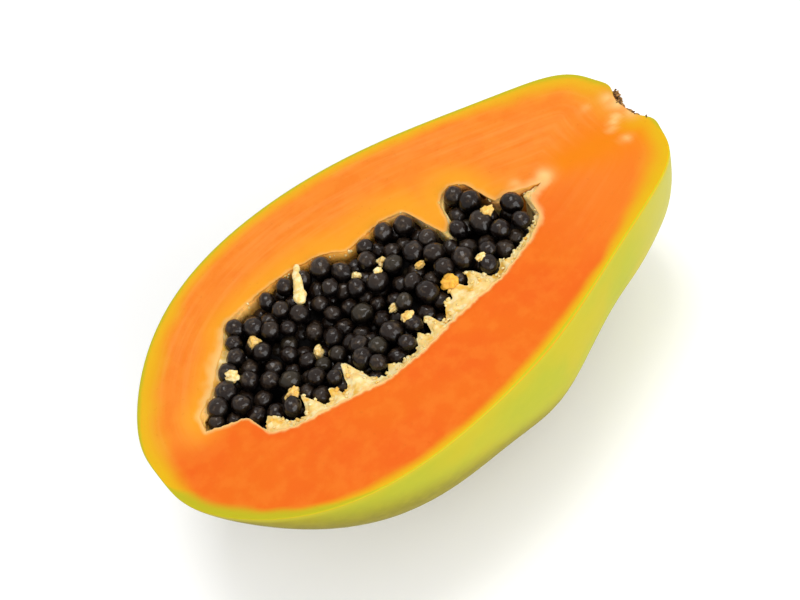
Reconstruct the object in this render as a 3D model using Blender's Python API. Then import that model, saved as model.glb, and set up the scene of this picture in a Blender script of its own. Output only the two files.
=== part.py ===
# A papaya half, cut lengthwise and lying on its rind with the cut face up, its hollow full of seeds.
# Metres, +Z up, +X towards the stem. The origin ends up under the middle of the part, on the surface below.

import math
import random

import bmesh
import bpy
import numpy as np
from mathutils import Vector, noise
from mathutils.bvhtree import BVHTree

MM = 0.001

# Fruit, shaped with x = 0 at the blossom end, y = 0 on its long axis and z = 0 on the cut face
LENGTH = 164.3 * MM
HALF_WIDTH = 42.8 * MM
END_BLUNTNESS = 0.59  # 0.5 is an ellipse, 1 a spindle
WIDTH_WAVES = (0.011, -0.121, -0.122, 0.0, -0.025)  # narrows the stem side and fills the blossom side
DEPTH_SHARE = 1.074  # depth over half width
DEPTH_WAVES = (-0.618, -0.056, -0.169)  # the knife ran high at the stem and low at the blossom end
SIDE_SWELL = 0.046  # the rind swells out below the cut
BLOSSOM_BEND = 4.3 * MM
FLAT_TRIM = 0.9 * MM  # the small flat spot it rests on

# Relief of the rind
RIB_COUNT = 5
RIB_HEIGHT = 0.012  # as a share of the half width
SWELLS = (  # soft waves along the near side: height, place and length in mm
    (4.1, 97, 16), (1.4, 116, 19.5), (1.6, 140, 11.8),
)
SWELL_ANGLE = math.radians(54.6)  # down from the cut face
SWELL_SPREAD = math.radians(38.2)

# Scar where the stem broke off
SCAR_RADIUS = 6.6 * MM
SCAR_DEPTH = 2.0 * MM
SCAR_LIP = 0.8 * MM
LIP_PLACE = 1.5  # middle of the lip, in scar radii
LIP_WIDTH = 0.5
FIBRE_COUNT = 9
FIBRE_LENGTH = (1.4 * MM, 2.4 * MM)
FIBRE_RADIUS = 0.7 * MM
FIBRE_RING = (0.35, 0.95)  # where the fibres stand, in scar radii
FIBRE_LEAN = 0.5
FIBRE_SIDES = 5

# Seed hollow: its three edges as x, y in mm, from the blossom tip to the stem slit
FLESH_EDGE = (  # near side, where orange flesh meets the pale lining
    (16.5, -1.6), (27.0, -6.0), (28.6, -14.0), (35.0, -17.4), (50.0, -20.6), (60.0, -23.4),
    (72.0, -23.2), (84.0, -21.2), (102.0, -19.8), (109.0, -17.8), (116.0, -15.4), (121.4, -11.8),
    (122.8, -6.8), (124.0, -4.8), (128.8, -3.4),
)
FAR_EDGE = (  # far side, with the pulp tongue at 100, a small fold at 116 and the slit beyond 119
    (16.5, -1.6), (17.6, 3.6), (24.0, 7.4), (29.5, 13.4), (34.0, 17.0), (38.0, 23.2), (52.0, 24.9),
    (64.0, 24.4), (72.0, 22.2), (77.0, 18.0), (84.0, 19.0), (90.0, 19.4), (96.4, 17.4), (98.2, 8.4),
    (99.8, 2.4), (102.9, 5.4), (104.8, 12.2), (110.0, 15.4), (114.0, 12.4), (115.2, 5.4), (116.2, 0.6),
    (119.4, 1.2), (123.4, -1.0), (128.8, -3.4),
)
LINING_WIDTH = 2.4 * MM
LINING_TEETH = (  # where, how far out over the seeds and how wide, in mm
    (31.5, 4.6, 2.6), (41.6, 6.0, 1.9), (48.0, 4.4, 1.4), (54.8, 9.8, 2.6), (63.5, 1.6, 1.6),
    (74.6, 3.6, 1.6), (79.6, 6.2, 1.4), (86.0, 4.2, 2.0), (90.6, 9.6, 2.2), (96.4, 7.2, 2.6),
    (105.0, 2.2, 2.0), (123.6, 3.4, 2.0),
)
MOST_LINING = 0.62  # most of the hollow's width that the lining covers
LINING_STARTS = 4 * MM  # length over which it comes in at the blossom side
LINING_ENDS = 12 * MM  # length over which it dies out towards the slit
LINING_DROP = 1.5 * MM
LINING_CRUMBLE = 0.8 * MM
CRUMBLE_STEP = 1.1 * MM
CRUMBLE_GAIN = 1.6
FLAKE_TURN = 0.5  # how far down the wall the teeth reach, in radians of its arc
HOLLOW_DEPTH = 23 * MM
HOLLOW_FULLNESS = 0.6  # the lower, the flatter the floor line from end to end
HOLLOW_BLUNTNESS = 0.75  # the same across
DEPTH_LIMIT = 1.1  # deepest it goes, over its width there
NARROW = 4 * MM  # below this width the lining's drop fades out
SLIT_START = 118 * MM

# Seeds
SEED_RADIUS = (2.4 * MM, 3.0 * MM)
BIG_SEED_RADIUS = (3.5 * MM, 2.5 * MM)  # from the first to the last of those named below
LEAST_SEED = 1.9 * MM
SEED_COUNT = 128
SEED_PACKING = 0.95  # centre distance over the sum of two radii
EVEN_STEP_X, EVEN_STEP_Y = 0.7548776662, 0.5698402910  # steps that spread points evenly over a rectangle
START_SPACING = 3.6 * MM
START_TRIES = 4000
SETTLE_STEPS = 160
SETTLE_RATE = 0.6
SETTLE_HOLD = 0.35  # how strongly the big seeds keep their place
HEAP_TOP = -0.4 * MM  # height of the upper seeds' centres at the rim
HEAP_BAND = 3.4 * MM  # and how far below it the lower ones lie
DIP_DEPTH = 5.0 * MM
DIP_CENTRE = (56 * MM, 0 * MM)
DIP_SIZE = (22 * MM, 10 * MM)
BIG_SEEDS = (  # the ones that stand out, largest first, x and y in mm
    (37.2, -12.1), (108.9, -1.5), (68.7, 19.2), (70.0, -11.9), (84.8, -9.3), (93.5, -0.5), (98.0, -7.2),
    (68.5, 0.7), (26.1, 5.3), (114.3, 7.4), (96.0, 14.3), (90.2, 4.5), (77.2, 4.8), (61.7, -7.9),
    (119.0, -2.5), (109.3, 10.9), (91.5, -7.6), (88.1, 15.8), (37.9, 0.9), (50.7, -12.7), (111.2, -7.2),
    (83.5, 5.7), (55.7, 11.7), (72.0, 7.7), (79.1, 11.9), (46.5, 13.2), (41.4, 9.3), (117.1, -9.7),
    (78.2, -6.3), (57.6, 21.2), (66.8, 12.3), (61.8, -17.1), (35.0, 12.6), (104.5, -9.9), (51.3, 21.0),
)
PULP_BITS = (  # crumbs of pulp on the seeds: x, y and radius in mm
    (41.3, 12.6, 1.7), (52.9, 0.4, 1.5), (39.9, -7.4, 1.7), (30.8, 7.3, 1.6), (74.0, 10.4, 1.2),
    (81.9, 8.4, 1.2), (78.9, 5.8, 1.1), (75.5, -5.2, 1.3), (90.6, -10.8, 1.8), (88.6, -0.1, 1.1),
    (111.6, -1.2, 1.5), (101.1, -11.9, 1.1), (75.4, -12.4, 1.4),
)
BIT_FLATNESS = 0.8
STRAND_START = (63.4 * MM, 21.2 * MM)
STRAND_END = (57.6 * MM, 12.6 * MM)
STRAND_RADIUS = 1.4 * MM
CLEARANCE = 0.4 * MM  # between the heap and the wall of the hollow
RIM_SLACK = 0.01 * MM
WELD = 0.0005 * MM
CORE_INSET = 0.9 * MM
CORE_DROP = 2.5 * MM  # from the upper seeds' centres down to the core
CORE_STARTS = 5 * MM  # how far inside the hollow's blossom end
CORE_ENDS = 2.5 * MM  # and how far short of the slit
CORE_REACH = 1.6 * MM  # how far along each way it keeps clear of the edges
CORE_TAPER = 2.5  # how soon it reaches its full width from its tips

# Fineness of the solids
RIND_SEGMENTS = 48
RIND_RINGS = 44
HOLLOW_SEGMENTS = 20
HOLLOW_RINGS = 100
CORE_SEGMENTS = 12
CORE_RINGS = 38
SEED_SEGMENTS = 6
SEED_RINGS = 4

COLOURS = {
    "papaya": (0.92, 0.30, 0.03, 1.0),
    "seeds": (0.03, 0.025, 0.02, 1.0),
}
ROUGHNESS = 0.45
SHARP_ANGLE = math.radians(40)


def clear_scene():
    for obj in list(bpy.data.objects):
        bpy.data.objects.remove(obj, do_unlink=True)


def new_collection(name):
    collection = bpy.data.collections.new(name)
    bpy.context.scene.collection.children.link(collection)
    return collection


def waves(angle, strengths):
    """1 plus a cosine of the angle and of each whole multiple of it."""
    return 1 + sum(k * math.cos((i + 1) * angle) for i, k in enumerate(strengths))


def bump(value, centre, width):
    """A soft hump, 1 high at its centre."""
    return math.exp(-(((value - centre) / width) ** 2))


def read_line(points, x):
    """Height at x, in metres, of a broken line through points given in mm."""
    x = x / MM
    for (x0, y0), (x1, y1) in zip(points, points[1:]):
        if x <= x1:
            return (y0 + (y1 - y0) * max(0.0, x - x0) / (x1 - x0)) * MM
    return points[-1][1] * MM


def fruit_point(direction):
    """Moves a point of the unit sphere, its poles on X, onto the rind."""
    ring = min(1.0, math.hypot(direction.y, direction.z))
    bend = ring ** (1 / END_BLUNTNESS)
    tau = math.atan2(bend, -math.copysign(math.sqrt(1 - bend * bend), direction.x))
    share = (1 - math.cos(tau)) / 2
    half = HALF_WIDTH * ring * waves(tau, WIDTH_WAVES)
    alpha = math.atan2(-direction.z, direction.y)
    rib = 1 + RIB_HEIGHT * math.cos(RIB_COUNT * alpha) * ring
    x = LENGTH * share
    swell = sum(height * MM * bump(x / MM, place, length) for height, place, length in SWELLS)
    swell *= bump(alpha, math.pi - SWELL_ANGLE, SWELL_SPREAD)
    side = (half * (1 + SIDE_SWELL * math.sin(alpha)) * rib + swell) * math.cos(alpha)
    deep = (half * DEPTH_SHARE * waves(tau, DEPTH_WAVES) * rib + swell) * math.sin(alpha)
    from_pole = math.hypot(side, deep)
    if direction.x > 0:
        x -= SCAR_DEPTH * math.exp(-((from_pole / SCAR_RADIUS) ** 4))
        x += SCAR_LIP * bump(from_pole, LIP_PLACE * SCAR_RADIUS, LIP_WIDTH * SCAR_RADIUS)
    return Vector((x, side - BLOSSOM_BEND * (1 - share) ** 3, -deep))


def crumble(x, seed):
    """Small uneven steps along an edge of the hollow, between -1 and 1."""
    return noise.noise(Vector((x / CRUMBLE_STEP, seed, 0.0))) * CRUMBLE_GAIN


def lining_fade(x):
    """0 at the bare flesh near the blossom tip and in the slit, 1 where the pale lining is whole."""
    start, end = FLESH_EDGE[1][0] * MM, FLESH_EDGE[-1][0] * MM
    return min(1.0, max(0.0, (x - start) / LINING_STARTS), max(0.0, (end - x) / LINING_ENDS))


def lining_edge(x):
    """Inner edge of the pale lining on the near side."""
    reach = LINING_WIDTH * lining_fade(x)
    for place, tooth, width in LINING_TEETH:
        reach += tooth * MM * bump(x / MM, place, width)
    reach += LINING_CRUMBLE * crumble(x, 3.0)
    room = read_line(FAR_EDGE, x) - read_line(FLESH_EDGE, x)
    return read_line(FLESH_EDGE, x) + max(0.0, min(reach, MOST_LINING * room))


def hollow_depth(x):
    """Depth of the hollow's floor below the cut face."""
    start, end = FLESH_EDGE[0][0] * MM, FLESH_EDGE[-1][0] * MM
    share = (x - start) / (end - start)
    room = read_line(FAR_EDGE, x) - lining_edge(x)
    floor = HOLLOW_DEPTH * max(0.0, math.sin(math.pi * share)) ** HOLLOW_FULLNESS
    return min(floor, DEPTH_LIMIT * room)


def hollow_wall(x, turn):
    """Point of the hollow's wall: turn runs from 0 at the near lining to pi at the far edge."""
    flake = max(0.0, 1 - turn / FLAKE_TURN)
    near = read_line(FLESH_EDGE, x) + LINING_WIDTH * lining_fade(x)
    near += (lining_edge(x) - near) * flake
    far = read_line(FAR_EDGE, x)
    across = (1 - math.cos(turn)) / 2
    rim = -LINING_DROP * (1 - across) * min(1.0, (far - near) / NARROW)
    deep = hollow_depth(x) * max(0.0, math.sin(turn)) ** HOLLOW_BLUNTNESS
    return Vector((x, near + (far - near) * across, rim - deep))


def hollow_cutter_point(direction):
    """Moves a point of the unit sphere, its poles on X, onto the cutter of the seed hollow."""
    start, end = FLESH_EDGE[0][0] * MM, FLESH_EDGE[-1][0] * MM
    x = start + (end - start) * math.acos(max(-1.0, min(1.0, -direction.x))) / math.pi
    if math.hypot(direction.y, direction.z) < 1e-4:
        return Vector((x, read_line(FAR_EDGE, x), 0.0))
    angle = math.atan2(-direction.z, -direction.y)
    step = 2 * math.pi / HOLLOW_SEGMENTS
    if abs(angle) < step / 2:
        return Vector((x, read_line(FLESH_EDGE, x), 0.0))
    if angle > 0:
        return hollow_wall(x, math.pi * (angle - step) / (math.pi - step))
    far, near = read_line(FAR_EDGE, x), read_line(FLESH_EDGE, x)
    across = (1 - math.cos(angle)) / 2
    return Vector((x, near + (far - near) * across, -HOLLOW_DEPTH * math.sin(angle) / 3))


def heap_height(x, y):
    """Height of the upper seeds' centres, lower in the middle of the hollow."""
    u = (x - DIP_CENTRE[0]) / DIP_SIZE[0]
    v = (y - DIP_CENTRE[1]) / DIP_SIZE[1]
    return HEAP_TOP - DIP_DEPTH * math.exp(-u * u - v * v)


def wall_tree(cutter):
    """The hollow's wall and rim as a search tree, to measure clearances from."""
    mesh = cutter.data
    wall = [face.vertices[:] for face in mesh.polygons if face.center.z < -RIM_SLACK]
    return BVHTree.FromPolygons([vert.co[:] for vert in mesh.vertices], wall)


def spread_spots(count, spots):
    """Adds evenly spread places over the hollow, none too near another, until there are enough."""
    start, end = FLESH_EDGE[0][0] * MM, SLIT_START
    low, high = min(y for _, y in FLESH_EDGE) * MM, max(y for _, y in FAR_EDGE) * MM
    step = 0
    while len(spots) < count:
        step += 1
        x = start + (end - start) * (step * EVEN_STEP_X % 1)
        y = low + (high - low) * (step * EVEN_STEP_Y % 1)
        near_others = any(math.hypot(x - u, y - v) < START_SPACING for u, v in spots)
        if lining_edge(x) < y < read_line(FAR_EDGE, x) and not near_others:
            spots.append((x, y))
        if step > START_TRIES:
            break
    return spots


def settle_seeds(tree):
    """Centres and radii of the seeds that show, pushed apart until they lie packed."""
    draw = random.Random(11)
    spots = spread_spots(SEED_COUNT, [(x * MM, y * MM) for x, y in BIG_SEEDS])
    radii = list(np.linspace(*BIG_SEED_RADIUS, len(BIG_SEEDS)))
    radii += [draw.uniform(*SEED_RADIUS) for _ in spots[len(BIG_SEEDS):]]
    centres = np.array([(x, y, heap_height(x, y) - draw.uniform(0, HEAP_BAND)) for x, y in spots])
    centres[: len(BIG_SEEDS), 2] = [heap_height(*spot) for spot in spots[: len(BIG_SEEDS)]]
    homes = centres[: len(BIG_SEEDS)].copy()
    radius = np.array(radii)
    wanted = SEED_PACKING * (radius[:, None] + radius[None, :])
    np.fill_diagonal(wanted, 0.0)
    for _ in range(SETTLE_STEPS):
        gaps = centres[:, None] - centres[None, :]
        apart = np.linalg.norm(gaps, axis=2) + 1e-9
        push = np.maximum(0.0, wanted - apart) / (2 * apart)
        centres += SETTLE_RATE * (gaps * push[..., None]).sum(axis=1)
        centres[: len(homes)] += SETTLE_HOLD * (homes - centres[: len(homes)])
        for index, centre in enumerate(centres):
            nearest, _, _, distance = tree.find_nearest(centre)
            short = radius[index] + CLEARANCE - distance
            if short > 0:
                centre += short * (centre - np.array(nearest)) / distance
            top = heap_height(centre[0], centre[1])
            centre[2] = min(top, max(top - HEAP_BAND, centre[2]))
    seeds = []
    for centre, size in zip(centres, radius):
        size = min(size, tree.find_nearest(centre)[3] - CLEARANCE)
        inside = lining_edge(centre[0]) < centre[1] < read_line(FAR_EDGE, centre[0])
        if inside and size > LEAST_SEED:
            seeds.append((Vector(centre), size))
    return seeds


def sphere_object(name, collection, segments, rings, mover):
    """An object made from a unit sphere whose poles lie on X, each point moved by the given rule."""
    mesh = bpy.data.meshes.new(name)
    bm = bmesh.new()
    bmesh.ops.create_uvsphere(bm, u_segments=segments, v_segments=rings, radius=1)
    for vert in bm.verts:
        x, y, z = vert.co
        vert.co = mover(Vector((z, y, -x)))
    bmesh.ops.recalc_face_normals(bm, faces=bm.faces)
    bm.to_mesh(mesh)
    bm.free()
    obj = bpy.data.objects.new(name, mesh)
    collection.objects.link(obj)
    return obj


def cut_flat(obj, height, keep_below):
    """Cuts the object level at a height and closes the cut with a face."""
    bm = bmesh.new()
    bm.from_mesh(obj.data)
    everything = bm.verts[:] + bm.edges[:] + bm.faces[:]
    result = bmesh.ops.bisect_plane(
        bm, geom=everything, dist=1e-6, plane_co=(0, 0, height), plane_no=(0, 0, 1),
        clear_outer=keep_below, clear_inner=not keep_below,
    )
    rim = [part for part in result["geom_cut"] if isinstance(part, bmesh.types.BMEdge)]
    bmesh.ops.edgeloop_fill(bm, edges=rim)
    bmesh.ops.recalc_face_normals(bm, faces=bm.faces)
    bm.to_mesh(obj.data)
    bm.free()


def apply_boolean(obj, operation, operand=None, collection=None):
    """Runs one Boolean on the object and keeps its result as the object's mesh."""
    step = obj.modifiers.new(operation.lower(), "BOOLEAN")
    step.operation = operation
    if collection:
        step.operand_type = "COLLECTION"
        step.collection = collection
    else:
        step.object = operand
    bpy.context.view_layer.update()
    evaluated = obj.evaluated_get(bpy.context.evaluated_depsgraph_get())
    mesh = bpy.data.meshes.new_from_object(evaluated)
    obj.modifiers.remove(step)
    obj.data = mesh


def keep_largest_shell(obj):
    """Drops loose scraps and sealed pockets, so that one closed body is left."""
    bm = bmesh.new()
    bm.from_mesh(obj.data)
    bmesh.ops.remove_doubles(bm, verts=bm.verts, dist=WELD)
    left = set(bm.verts)
    shells = []
    while left:
        stack = [left.pop()]
        shell = set(stack)
        while stack:
            for edge in stack.pop().link_edges:
                for vert in edge.verts:
                    if vert in left:
                        left.remove(vert)
                        shell.add(vert)
                        stack.append(vert)
        shells.append(shell)
    shells.sort(key=len)
    for shell in shells[:-1]:
        bmesh.ops.delete(bm, geom=list(shell), context="VERTS")
    bm.to_mesh(obj.data)
    bm.free()


def remove_collection(collection):
    for obj in list(collection.objects):
        bpy.data.objects.remove(obj, do_unlink=True)
    bpy.data.collections.remove(collection)


def add_fibres(target):
    """Broken stem fibres: small spikes that stand round the scar."""
    extras = new_collection("fibre pieces")
    draw = random.Random(5)
    for index in range(FIBRE_COUNT):
        turn = math.pi * (index + 0.5) / FIBRE_COUNT
        radius = SCAR_RADIUS * draw.uniform(*FIBRE_RING)
        length = draw.uniform(*FIBRE_LENGTH)
        side, down = radius * math.cos(turn), radius * math.sin(turn) + FIBRE_RADIUS
        place = Vector((LENGTH - SCAR_DEPTH, side, -down))
        aim = Vector((1.0, draw.uniform(-FIBRE_LEAN, FIBRE_LEAN), draw.uniform(-FIBRE_LEAN, 0.0)))
        mesh = bpy.data.meshes.new("fibre")
        bm = bmesh.new()
        bmesh.ops.create_cone(
            bm, cap_ends=True, segments=FIBRE_SIDES, radius1=FIBRE_RADIUS, radius2=FIBRE_RADIUS / 4,
            depth=2 * length,
        )
        bmesh.ops.rotate(bm, verts=bm.verts, matrix=aim.to_track_quat("Z", "Y").to_matrix())
        bmesh.ops.translate(bm, verts=bm.verts, vec=place)
        bm.to_mesh(mesh)
        bm.free()
        extras.objects.link(bpy.data.objects.new("fibre", mesh))
    apply_boolean(target, "UNION", collection=extras)
    remove_collection(extras)


def build_hollow_cutter(cutters):
    cutter = sphere_object("hollow_cutter", cutters, HOLLOW_SEGMENTS, HOLLOW_RINGS, hollow_cutter_point)
    cutter.hide_render = True
    cutter.display_type = "WIRE"
    return cutter


def build_papaya(model, cutter):
    """Flesh and rind in one solid, with the seed hollow cut out of it."""
    papaya = sphere_object("papaya", model, RIND_SEGMENTS, RIND_RINGS, fruit_point)
    cut_flat(papaya, 0.0, keep_below=True)
    lowest = min(vert.co.z for vert in papaya.data.vertices)
    cut_flat(papaya, lowest + FLAT_TRIM, keep_below=False)
    apply_boolean(papaya, "DIFFERENCE", operand=cutter)
    add_fibres(papaya)
    keep_largest_shell(papaya)
    return papaya


def eroded(edge, x, side):
    """The edge moved inwards so far that nothing near x comes closer than the core's inset."""
    near = [edge(x + share * CORE_REACH) for share in (-1.0, -0.5, 0.0, 0.5, 1.0)]
    return max(near) + CORE_INSET if side == "near" else min(near) - CORE_INSET


def core_top(x, y):
    return heap_height(x, y) - CORE_DROP


def core_point(direction):
    """Moves a point of the unit sphere, its poles on X, onto the heap's core."""
    start, end = FLESH_EDGE[0][0] * MM + CORE_STARTS, SLIT_START - CORE_ENDS
    x = start + (end - start) * math.acos(max(-1.0, min(1.0, -direction.x))) / math.pi
    near = eroded(lining_edge, x, "near")
    far = max(near, eroded(lambda place: read_line(FAR_EDGE, place), x, "far"))
    floor = min(hollow_depth(x + share * CORE_REACH) for share in (-1.0, 0.0, 1.0))
    deep = max(CORE_INSET, floor - 2 * CORE_INSET)
    lean_near, lean_far = (
        math.asin(min(1.0, -core_top(x, y) / deep) ** (1 / HOLLOW_BLUNTNESS)) for y in (near, far)
    )
    turn = math.atan2(-direction.z, -direction.y)
    spread = math.hypot(direction.y, direction.z)
    wall_turn = lean_near + (math.pi - lean_near - lean_far) * abs(turn) / math.pi
    y = (near + far) / 2 - (far - near) / 2 * math.cos(wall_turn) * min(1.0, CORE_TAPER * spread)
    top = core_top(x, y)
    if turn < 0:
        return Vector((x, y, top))
    return Vector((x, y, min(top, -deep * math.sin(wall_turn) ** HOLLOW_BLUNTNESS)))


def add_ball(collection, centre, radii, segments, rings, turn):
    """A small ball or egg, turned at random, as a piece of the heap."""
    mesh = bpy.data.meshes.new("piece")
    bm = bmesh.new()
    bmesh.ops.create_uvsphere(bm, u_segments=segments, v_segments=rings, radius=1)
    bmesh.ops.scale(bm, vec=radii, verts=bm.verts)
    bmesh.ops.rotate(bm, verts=bm.verts, matrix=turn)
    bmesh.ops.translate(bm, verts=bm.verts, vec=centre)
    bm.to_mesh(mesh)
    bm.free()
    collection.objects.link(bpy.data.objects.new("piece", mesh))


def random_turn(draw):
    axis = Vector((draw.uniform(-1, 1), draw.uniform(-1, 1), draw.uniform(-1, 1)))
    return axis.to_track_quat("Z", "Y").to_matrix()


def seed_top(seeds, x, y):
    """Height of the heap's surface over a point, read from the seeds' own tops."""
    tops = [heap_height(x, y)]
    for centre, radius in seeds:
        off = math.hypot(centre.x - x, centre.y - y)
        if off < radius:
            tops.append(centre.z + math.sqrt(radius * radius - off * off))
    return max(tops)


def build_seeds(model, cutter):
    """The heap of seeds: a core, with the seeds and crumbs of pulp that show fused onto it."""
    tree = wall_tree(cutter)
    seeds = settle_seeds(tree)
    heap = sphere_object("seeds", model, CORE_SEGMENTS, CORE_RINGS, core_point)
    extras = new_collection("seed pieces")
    draw = random.Random(23)
    for centre, radius in seeds:
        add_ball(extras, centre, (radius, radius, radius), SEED_SEGMENTS, SEED_RINGS, random_turn(draw))
    for x, y, radius in PULP_BITS:
        centre = Vector((x * MM, y * MM, seed_top(seeds, x * MM, y * MM)))
        size = min(radius * MM, tree.find_nearest(centre)[3] - CLEARANCE)
        flat = size * BIT_FLATNESS
        add_ball(extras, centre, (size, flat, flat), SEED_SEGMENTS, SEED_RINGS, random_turn(draw))
    start, end = Vector((*STRAND_START, 0.0)), Vector((*STRAND_END, 0.0))
    for point in (start, end):
        point.z = seed_top(seeds, point.x, point.y)
    along = (end - start).to_track_quat("X", "Z").to_matrix()
    strand_radii = ((end - start).length / 2, STRAND_RADIUS, STRAND_RADIUS)
    add_ball(extras, (start + end) / 2, strand_radii, SEED_SEGMENTS, SEED_RINGS, along)
    apply_boolean(heap, "UNION", collection=extras)
    remove_collection(extras)
    keep_largest_shell(heap)
    return heap


def set_on_floor(objects):
    """Moves the meshes so that the origin is under the middle of the whole part."""
    points = [vert.co for obj in objects for vert in obj.data.vertices]
    low = Vector([min(p[i] for p in points) for i in range(3)])
    high = Vector([max(p[i] for p in points) for i in range(3)])
    shift = Vector((-(low.x + high.x) / 2, -(low.y + high.y) / 2, -low.z))
    for obj in objects:
        for vert in obj.data.vertices:
            vert.co += shift


def finish(obj):
    """Gives the object its material and shades it smooth between sharp edges."""
    material = bpy.data.materials.new(obj.name)
    material.use_nodes = True
    shader = material.node_tree.nodes["Principled BSDF"]
    shader.inputs["Base Color"].default_value = COLOURS[obj.name]
    shader.inputs["Roughness"].default_value = ROUGHNESS
    shader.inputs["Metallic"].default_value = 0.0
    obj.data.materials.clear()
    obj.data.materials.append(material)
    obj.data.shade_smooth()
    obj.data.set_sharp_from_angle(angle=SHARP_ANGLE)


def main():
    clear_scene()
    model = new_collection("papaya half")
    cutters = new_collection("cutters")
    cutter = build_hollow_cutter(cutters)
    pieces = [build_papaya(model, cutter), build_seeds(model, cutter)]
    remove_collection(cutters)
    set_on_floor(pieces)
    for piece in pieces:
        finish(piece)


main()
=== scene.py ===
import math
import random
from bisect import bisect_right
from itertools import accumulate

import bmesh
import bpy
import numpy as np
from mathutils import Matrix, Vector, kdtree, noise
from mathutils.bvhtree import BVHTree


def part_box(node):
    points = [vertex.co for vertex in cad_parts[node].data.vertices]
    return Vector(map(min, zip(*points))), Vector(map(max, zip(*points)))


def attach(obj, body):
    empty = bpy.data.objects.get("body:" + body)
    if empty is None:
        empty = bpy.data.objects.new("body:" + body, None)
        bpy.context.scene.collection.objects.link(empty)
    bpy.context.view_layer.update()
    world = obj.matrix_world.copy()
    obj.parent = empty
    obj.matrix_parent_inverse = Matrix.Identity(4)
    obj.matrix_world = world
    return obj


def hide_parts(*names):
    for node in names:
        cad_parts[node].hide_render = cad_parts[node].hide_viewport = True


# A papaya half on its rind, cut face up. Shapes are worked out in mm on the fruit's own axes:
# x runs from the blossom tip to the stem, y to the far side, and z = 0 is the cut face.
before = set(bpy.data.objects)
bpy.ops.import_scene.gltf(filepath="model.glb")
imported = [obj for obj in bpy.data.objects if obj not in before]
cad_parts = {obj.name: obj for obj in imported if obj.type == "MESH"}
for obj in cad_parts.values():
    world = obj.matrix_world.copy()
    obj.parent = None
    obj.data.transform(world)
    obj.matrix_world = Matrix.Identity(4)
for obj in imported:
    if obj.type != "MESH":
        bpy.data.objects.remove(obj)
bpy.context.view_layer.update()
mm = 0.001
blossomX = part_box("papaya")[0].x
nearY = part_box("papaya")[0].y
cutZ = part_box("papaya")[1].z
floorZ = -cutZ / mm

fruit = {
    "length": 164.3,
    "halfWidth": 42.8,
    "bluntness": 0.59,
    "widthWaves": (0.011, -0.121, -0.122, 0.0, -0.025),
    "depthShare": 1.074,
    "depthWaves": (-0.618, -0.056, -0.169),
    "sideSwell": 0.046,
    "bend": 4.3,
    "ribs": (5, 0.012),
    "swells": ((4.1, 97, 16), (1.4, 116, 19.5), (1.6, 140, 11.8)),  # height, place, length
    "swellAngle": math.radians(54.6),
    "swellSpread": math.radians(38.2),
    "scar": {"radius": 6.6, "depth": 2.0, "lip": 0.8, "lipPlace": 1.5, "lipWidth": 0.5},
}

hollow = {
    # near side, where orange flesh meets the pale lining
    "fleshEdge": (
        (16.5, -1.6), (27.0, -6.0), (28.6, -14.0), (35.0, -17.4), (50.0, -20.6), (60.0, -23.4),
        (72.0, -23.2), (84.0, -21.2), (102.0, -19.8), (109.0, -17.8), (116.0, -15.4), (121.4, -11.8),
        (122.8, -6.8), (124.0, -4.8), (128.8, -3.4),
    ),
    # far side, with the pulp tongue at 100, a small fold at 116 and the slit beyond 119
    "farEdge": (
        (16.5, -1.6), (17.6, 3.6), (24.0, 7.4), (29.5, 13.4), (34.0, 17.0), (38.0, 23.2), (52.0, 24.9),
        (64.0, 24.4), (72.0, 22.2), (77.0, 18.0), (84.0, 19.0), (90.0, 19.4), (96.4, 17.4), (98.2, 8.4),
        (99.8, 2.4), (102.9, 5.4), (104.8, 12.2), (110.0, 15.4), (114.0, 12.4), (115.2, 5.4), (116.2, 0.6),
        (119.4, 1.2), (123.4, -1.0), (128.8, -3.4),
    ),
    "liningWidth": 2.4,
    # how far out over the seeds, where, how wide
    "teeth": (
        (4.6, 31.5, 2.6), (6.0, 41.6, 1.9), (4.4, 48.0, 1.4), (9.8, 54.8, 2.6), (1.6, 63.5, 1.6),
        (3.6, 74.6, 1.6), (6.2, 79.6, 1.4), (4.2, 86.0, 2.0), (9.6, 90.6, 2.2), (7.2, 96.4, 2.6),
        (2.2, 105.0, 2.0), (3.4, 123.6, 2.0),
    ),
    "mostLining": 0.62,
    "liningStarts": 4,
    "liningEnds": 12,
    "drop": 1.5,
    "crumble": 0.8,
    "crumbleStep": 1.1,
    "crumbleGain": 1.6,
    "flakeTurn": 0.5,
    "depth": 23,
    "fullness": 0.6,
    "bluntness": 0.75,
    "depthLimit": 1.1,
    "narrow": 4,
    "slitStart": 118,
}
hollowStart = hollow["fleshEdge"][0][0]
hollowEnd = hollow["fleshEdge"][-1][0]


def waves(angle, strengths):
    return 1 + sum(k * math.cos((i + 1) * angle) for i, k in enumerate(strengths))


def bump(value, centre, width):
    return math.exp(-(((value - centre) / width) ** 2))


def smoothStep(value, low, high):
    share = max(0.0, min(1.0, (value - low) / (high - low)))
    return share * share * (3 - 2 * share)


# a bump given as height, place and width
def hill(value, shape):
    return shape[0] * bump(value, shape[1], shape[2])


# a smooth rise given as height, start and end
def ramp(value, shape):
    return shape[0] * smoothStep(value, shape[1], shape[2])


def readLine(points, x):
    for (x0, y0), (x1, y1) in zip(points, points[1:]):
        if x <= x1:
            return y0 + (y1 - y0) * max(0.0, x - x0) / (x1 - x0)
    return points[-1][1]


# a noise between about -1 and 1 whose lumps are of the given size
def lumps(point, size, seed=0.0):
    return noise.noise(Vector((point.x / size, point.y / size, point.z / size + seed)))


# a sum of such noises, each given as strength, size and seed
def manyLumps(point, layers):
    return sum(strength * lumps(point, size, seed) for strength, size, seed in layers)


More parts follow.
